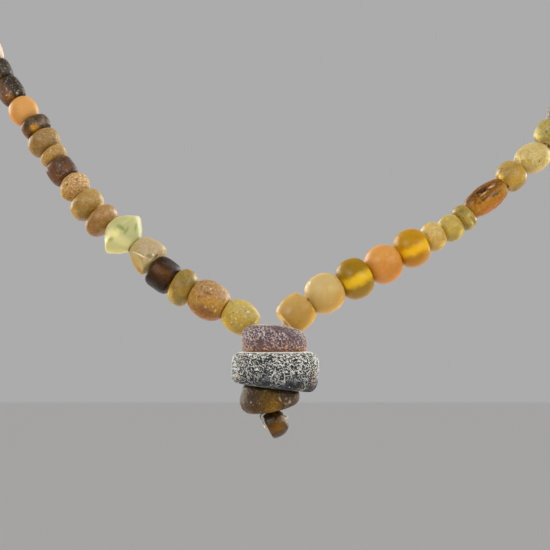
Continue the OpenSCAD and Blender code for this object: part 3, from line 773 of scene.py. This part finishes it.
def bead_glass(name, glass, half, seed, marks):
    """Old glass: an underside of painted shade and glow, a painted glow along the hole, a film
    above that is partly weathering and partly painted sheen, marks, some of them painted light, and
    wear.
    """
    red, green, blue, _ = tone(*glass.body)
    strongest = max(red, green, blue)
    constants = {
        "Transmission Weight": glass.clear,
        "Subsurface Weight": 1.0,
        "Subsurface Radius": (1.0, 0.4 + 0.6 * green / strongest, 0.3 + 0.7 * blue / strongest),
        "Subsurface Scale": glass.scatter * MM,
        "IOR": GLASS_IOR,
        "Specular IOR Level": glass.shine,
        "Sheen Weight": glass.rim,
        "Sheen Roughness": RIM_ROUGHNESS,
        "Sheen Tint": tone(*glass.underside_shade_glow),
    }
    paint = Paint(name + "_glass", constants)
    place = paint.place(seed)
    still = paint.place(0)
    across = paint.axis(still, "X")
    down = paint.axis(still, "Z") * -1 if name in UPRIGHT_BEADS else across
    drift = paint.cloud(place, 0.3, 3)
    mottle = paint.cloud(place, 0.9, 4)
    speckle = paint.cloud(place, 1.9, 5)

    # The underside takes its own tone, which paints shade and the glow of light through the glass;
    # the upper side takes the film, partly weathered film and partly a painted sheen from above.
    low = (down / half + (drift - 0.5) * 1.6).rise(-0.1, 0.95)
    high = (down / half + (mottle - 0.5) * 1.8).rise(0.25, -0.75)
    colour = paint.blend(tone(*glass.body), tone(*glass.underside_shade_glow), low)
    colour = paint.blend(colour, tone(*glass.film_and_sheen), high * glass.film_sheen_share)
    # A painted glow along the hole, the light seen through the glass, on the front and the back
    if glass.band > 0:
        off_line = (across + (drift - 0.5) * 1.5).size() / BAND_REACH
        glow = (off_line + (mottle - 0.5) * 0.6).rise(1.2, 0.2)
        colour = paint.blend(colour, tone(*glass.core), glow * glass.band)
    # Marks, some of them painted glows, glints, sheens and shadow
    for mark in marks:
        colour = paint_mark(paint, colour, still, mottle, mark)

    dark = 1 - 0.45 * glass.grain
    worn = paint.blend((dark, dark, dark, 1), (1, 1, 1, 1), speckle.rise(0.32, 0.6))
    colour = paint.shade_of(colour, worn)
    dusty = speckle.rise(0.56, 0.7) * (high + 0.25) * min(1, glass.grain)
    colour = paint.blend(colour, tone(*glass.speck_tone), dusty * 0.45)
    if glass.streaks > 0:
        slits = (paint.stored("slit") + (speckle - 0.5) * 0.6).rise(0.05, 0.75)
        colour = paint.blend(colour, tone(*glass.pit_tone), slits * glass.streaks)
    pit = paint.stored("pit")
    colour = paint.blend(colour, tone(*glass.pit_tone), pit.rise(0.1, 0.6) * 0.85)
    if glass.specks > 0:
        spread = mottle.rise(0.62 - 0.2 * glass.specks, 0.68)
        bright = paint.cells(place, 1.3).rise(0.3, 0.12) * spread
        colour = paint.blend(colour, tone(*glass.speck_tone), bright * min(1, 0.4 + glass.specks))
    rough = glass.rough + (mottle - 0.5) * 0.25 + pit * 0.2
    return paint.cover(colour, rough, paint.relief(speckle, 0.22 * glass.grain, 0.8))


def paint_mark(paint, colour, place, mottle, mark):
    """Lays one mark over a colour, round its spot."""
    spot, side, kind = mark
    thin = 1 / kind.long**2
    low, high = BROAD_EDGE if kind.size >= BROAD_MARK else NARROW_EDGE
    off = paint.vector("SUBTRACT", place, tuple(spot))
    beside = paint.vector("DOT_PRODUCT", off, tuple(side), output=1)
    away = paint.node("ShaderNodeVectorMath", {"operation": "LENGTH"}, {0: off}, output=1)
    away = (away * away * thin + beside * beside * (1 - thin)).root()
    edge = (away / kind.size + (mottle - 0.5) * 1.2).rise(low, high)
    return paint.blend(colour, tone(*kind.colour), edge * kind.strength)


def surface_spots(mesh, matrix, marks):
    """Each mark with its spot on the front of a bead, in the bead's own millimetres, and the
    direction square to its length."""
    points = points_of(mesh)
    turned = np.array(matrix.to_3x3())
    seen = points @ turned.T / MM
    facing = normals_of(mesh) @ turned.T
    in_hole = np.hypot(points[:, 0], points[:, 1]) < HOLE_REACH * MM
    hidden = (facing[:, 1] > 0) | in_hole
    spots = []
    for mark in marks:
        away = np.hypot(seen[:, 0] - mark.right, seen[:, 2] - mark.up)
        away[hidden] = np.inf
        lean = math.radians(mark.lean)
        side = turned.T @ np.array([-math.sin(lean), 0, math.cos(lean)])
        spots.append((points[np.argmin(away)] / MM, side, mark))
    return spots


def add_piece(name, mesh, matrix, materials, node_name):
    """Puts a finished mesh in the scene in place of its CAD node."""
    piece = put(name, mesh)
    mesh.materials.clear()
    for material in materials:
        mesh.materials.append(material)
    mesh.polygons.foreach_set("use_smooth", [True] * len(mesh.polygons))
    piece.matrix_world = matrix
    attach(piece, "root")
    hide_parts(node_name)


def make_bead(name, glass, seed):
    """One bead. The faces of its hole take the second material."""
    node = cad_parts[name]
    matrix = bead_frame(node)
    mesh = fine_mesh(node, DROP_VOXEL.get(name, VOXEL), glass.soft)
    mesh.transform(matrix.inverted())
    wear_down(mesh, glass, seed)
    points = points_of(mesh) / MM
    half = points[:, 2].max() if name in UPRIGHT_BEADS else np.abs(points[:, 0]).max()
    marks = surface_spots(mesh, matrix, glass.marks)
    outer = bead_glass(name, glass, half, seed, marks)
    add_piece("glass_" + name, mesh, matrix, [outer, core_glass(name, glass)], name)
    centres = vectors_of(mesh.polygons, "center") / MM
    in_hole = np.hypot(centres[:, 0], centres[:, 1]) < HOLE_REACH
    mesh.polygons.foreach_set("material_index", in_hole.astype(int))


def way_along(line):
    """How far along a line each of its points is."""
    steps = np.linalg.norm(np.diff(line, axis=0), axis=1)
    return np.concatenate(([0], np.cumsum(steps)))


def route_line(step):
    """The thread's route as a smooth line, with a point every step millimetres or so."""
    spots = np.array(ROUTE, float)
    knots = way_along(spots)
    before = np.maximum(np.arange(len(spots)) - 1, 0)
    after = np.minimum(np.arange(len(spots)) + 1, len(spots) - 1)
    slopes = (spots[after] - spots[before]) / (knots[after] - knots[before])[:, None]
    line = []
    for i in range(len(spots) - 1):
        span = knots[i + 1] - knots[i]
        part = np.linspace(0, 1, max(2, round(span / step)), endpoint=False)[:, None]
        line.append(
            (2 * part**3 - 3 * part**2 + 1) * spots[i]
            + (part**3 - 2 * part**2 + part) * span * slopes[i]
            + (3 * part**2 - 2 * part**3) * spots[i + 1]
            + (part**3 - part**2) * span * slopes[i + 1]
        )
    return np.vstack(line + [spots[-1:]])


def rings_along(line):
    """Two directions square to a line at each of its points, carried on without a twist."""
    ways = np.gradient(line, axis=0)
    ways /= np.linalg.norm(ways, axis=1)[:, None]
    sides = np.zeros_like(line)
    side = np.array([0.3, 0.2, 1.0])
    for i, way in enumerate(ways):
        side = side - way * (side @ way)
        side /= np.linalg.norm(side)
        sides[i] = side
    return sides, np.cross(ways, sides)


def tube(line, sides, ups, radius, count, closed=False):
    """Points and faces of a round tube along a line."""
    turns = np.arange(count) * math.tau / count
    points = (
        line[:, None]
        + radius * np.cos(turns)[None, :, None] * sides[:, None]
        + radius * np.sin(turns)[None, :, None] * ups[:, None]
    ).reshape(-1, 3)
    rings = len(line)
    faces = []
    for i in range(rings if closed else rings - 1):
        for j in range(count):
            here, there = i * count, (i + 1) % rings * count
            on = (j + 1) % count
            faces.append((here + j, here + on, there + on, there + j))
    if not closed:
        faces.append(tuple(reversed(range(count))))
        faces.append(tuple((rings - 1) * count + j for j in range(count)))
    return points, faces


def mesh_of(name, parts):
    """One mesh of several sets of points, in millimetres, and their faces."""
    points = []
    faces = []
    start = 0
    for some_points, some_faces in parts:
        points.append(some_points)
        faces += [tuple(start + i for i in face) for face in some_faces]
        start += len(some_points)
    mesh = bpy.data.meshes.new(name)
    mesh.from_pydata((np.vstack(points) * MM).tolist(), [], faces)
    return mesh


def yarn_paint(name, light, dark):
    """Dull twisted yarn, darker and dirty in patches."""
    paint = Paint(name, {"Subsurface Weight": 0.3, "Subsurface Scale": 0.4 * MM})
    place = paint.place(3)
    patches = paint.cloud(place, 1.2, 3).rise(0.35, 0.65)
    colour = paint.blend(tone(*dark), tone(*light), patches)
    normal = paint.relief(paint.cloud(place, 9, 2), 0.05)
    return paint.cover(colour, 0.85, normal)


def make_thread():
    """Three plies, wound round the thread's route."""
    line = route_line(YARN_STEP)
    sides, ups = rings_along(line)
    plies = []
    for ply in range(PLIES):
        turn = (way_along(line) / PLY_TURN + ply / PLIES) * math.tau
        off = np.cos(turn)[:, None] * sides + np.sin(turn)[:, None] * ups
        plies.append(tube(line + PLY_OFFSET * off, sides, ups, PLY_RADIUS, PLY_SIDES))
    paint = yarn_paint("yarn", *THREAD_TONES)
    add_piece("twisted_thread", mesh_of("twisted_thread", plies), Matrix(), [paint], "thread")


def make_knot():
    """A pale lump of yarn, wound round itself."""
    low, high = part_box("knot")
    along = Vector(ROUTE[KNOT_AT + 1]) - Vector(ROUTE[KNOT_AT - 1])
    turned = along.to_track_quat("Z", "Y").to_matrix().to_4x4()
    turn = np.linspace(0, math.tau, KNOT_STEPS, endpoint=False)
    out = KNOT_REACH + KNOT_WIND * np.cos(3 * turn)
    rise = KNOT_WIND * np.sin(3 * turn)
    line = np.stack((out * np.cos(2 * turn), out * np.sin(2 * turn), rise), axis=1)
    closed = np.vstack((line[-1:], line, line[:1]))
    sides, ups = rings_along(closed)
    lump = tube(line, sides[1:-1], ups[1:-1], KNOT_YARN, KNOT_SIDES, closed=True)
    paint = yarn_paint("knot_yarn", *KNOT_TONES)
    matrix = Matrix.Translation((low + high) / 2) @ turned
    add_piece("tied_knot", mesh_of("tied_knot", [lump]), matrix, [paint], "knot")


def string_glass(name, seed):
    """Tan glass, dusty in patches and darker in its pits."""
    constants = {
        "Transmission Weight": 0.2,
        "Subsurface Weight": 1.0,
        "Subsurface Radius": (1.0, 0.7, 0.4),
        "Subsurface Scale": 1.4 * MM,
        "Specular IOR Level": 0.4,
    }
    paint = Paint(name + "_glass", constants)
    place = paint.place(seed)
    mottle = paint.cloud(place, 0.8, 4)
    speckle = paint.cloud(place, 3, 3)
    worn = paint.blend((0.7, 0.68, 0.64, 1), (1, 1, 1, 1), speckle.rise(0.3, 0.6))
    colour = paint.shade_of(tone(*STRING.body), worn)
    colour = paint.blend(colour, tone(*STRING.film_and_sheen), mottle.rise(0.52, 0.75) * 0.5)
    colour = paint.blend(colour, tone(*STRING.pit_tone), paint.stored("pit").rise(0.2, 0.8) * 0.8)
    return paint.cover(colour, 0.42 + (mottle - 0.5) * 0.25, paint.relief(speckle, 0.07))


def make_string(name, seed):
    """The beads of one string behind the photograph's edge, as one piece. Its mesh is about as
    coarse as the gaps between them are wide, so that it joins most neighbours."""
    mesh = fine_mesh(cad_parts[name], STRING_VOXEL, STRING.soft)
    line = route_line(STRING_STEP)
    tree = KDTree(len(line))
    for i, spot in enumerate(line):
        tree.insert(spot, i)
    tree.balance()
    way_in = np.array([tree.find(point)[2] for point in points_of(mesh) / MM])
    wear_down(mesh, STRING, seed, way_in)
    add_piece("glass_" + name, mesh, Matrix(), [string_glass(name, seed)], name)


def make_clasp():
    """A plain turned barrel with a groove near each end."""
    low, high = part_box("clasp")
    half = (high.x - low.x) / 2 / MM
    across = (high.z - low.z) / 2 / MM
    rings = [(share * across, half * along) for share, along in CLASP_PROFILE]
    rings += [(radius, -along) for radius, along in reversed(rings[:-1])]
    points = []
    faces = []
    for i, (radius, along) in enumerate(rings):
        here, there = i * CLASP_SIDES, (i + 1) % len(rings) * CLASP_SIDES
        for j in range(CLASP_SIDES):
            turn = j * math.tau / CLASP_SIDES
            on = (j + 1) % CLASP_SIDES
            points.append((along, radius * math.cos(turn), radius * math.sin(turn)))
            faces.append((here + j, here + on, there + on, there + j))
    mesh = mesh_of("turned_clasp", [(np.array(points), faces)])
    paint = Paint("brushed_brass", {"Metallic": 1.0, "Anisotropic": 0.4})
    brush = paint.cloud(paint.place(5, (0.4, 4, 4)), 3, 3)
    dull, bright = BRASS_TONES
    colour = paint.blend(tone(*dull), tone(*bright), brush.rise(0.3, 0.7))
    material = paint.cover(colour, 0.26 + brush * 0.16, paint.relief(brush, 0.01))
    add_piece("turned_clasp", mesh, Matrix.Translation((low + high) / 2), [material], "clasp")


def make_camera():
    data = bpy.data.cameras.new("camera")
    data.sensor_width = SENSOR
    data.lens = SENSOR * CAMERA_AWAY / VIEW_WIDTH
    data.clip_start = SEEN_FROM
    data.clip_end = SEEN_TO
    camera = put("camera", data)
    camera.location = (0, (DROP_FRONT_Y - CAMERA_AWAY) * MM, CAMERA_HEIGHT * MM)
    camera.rotation_euler = (math.radians(90), 0, 0)
    bpy.context.scene.camera = camera


def make_light(name, place, size, power):
    """A soft square light that faces the necklace."""
    data = bpy.data.lights.new(name, "AREA")
    data.shape = "SQUARE"
    data.size = size
    data.energy = power
    light = put(name, data)
    light.location = place
    way = Vector(LIT_SPOT) - light.location
    light.rotation_euler = way.to_track_quat("-Z", "Y").to_euler()


def make_stage():
    """A plain pale floor, an even pale studio and its lights."""
    mesh = bpy.data.meshes.new("floor")
    ways = ((-1, -1), (1, -1), (1, 1), (-1, 1))
    corners = [(x * FLOOR_REACH, y * FLOOR_REACH, FLOOR_LEVEL) for x, y in ways]
    mesh.from_pydata(corners, [], [(0, 1, 2, 3)])
    paint = Paint("floor_paint", {"Roughness": 0.9, "Base Color": tone(*FLOOR_TONE)})
    mesh.materials.append(paint.material)
    put("floor", mesh)
    world = bpy.data.worlds.new("studio")
    bpy.context.scene.world = world
    world.use_nodes = True
    studio = world.node_tree.nodes["Background"]
    studio.inputs["Color"].default_value = tone(*STUDIO_TONE)
    studio.inputs["Strength"].default_value = STUDIO_STRENGTH
    for name, (place, size, power) in LIGHTS.items():
        make_light(name, place, size, power)


make_camera()
make_stage()
for seed, (name, glass) in enumerate(GLASSES.items(), start=1):
    make_bead(name, glass, seed)
make_thread()
make_knot()
for name, seed in STRING_SEEDS.items():
    make_string(name, seed)
make_clasp()

bpy.context.scene.view_settings.view_transform = "Standard"
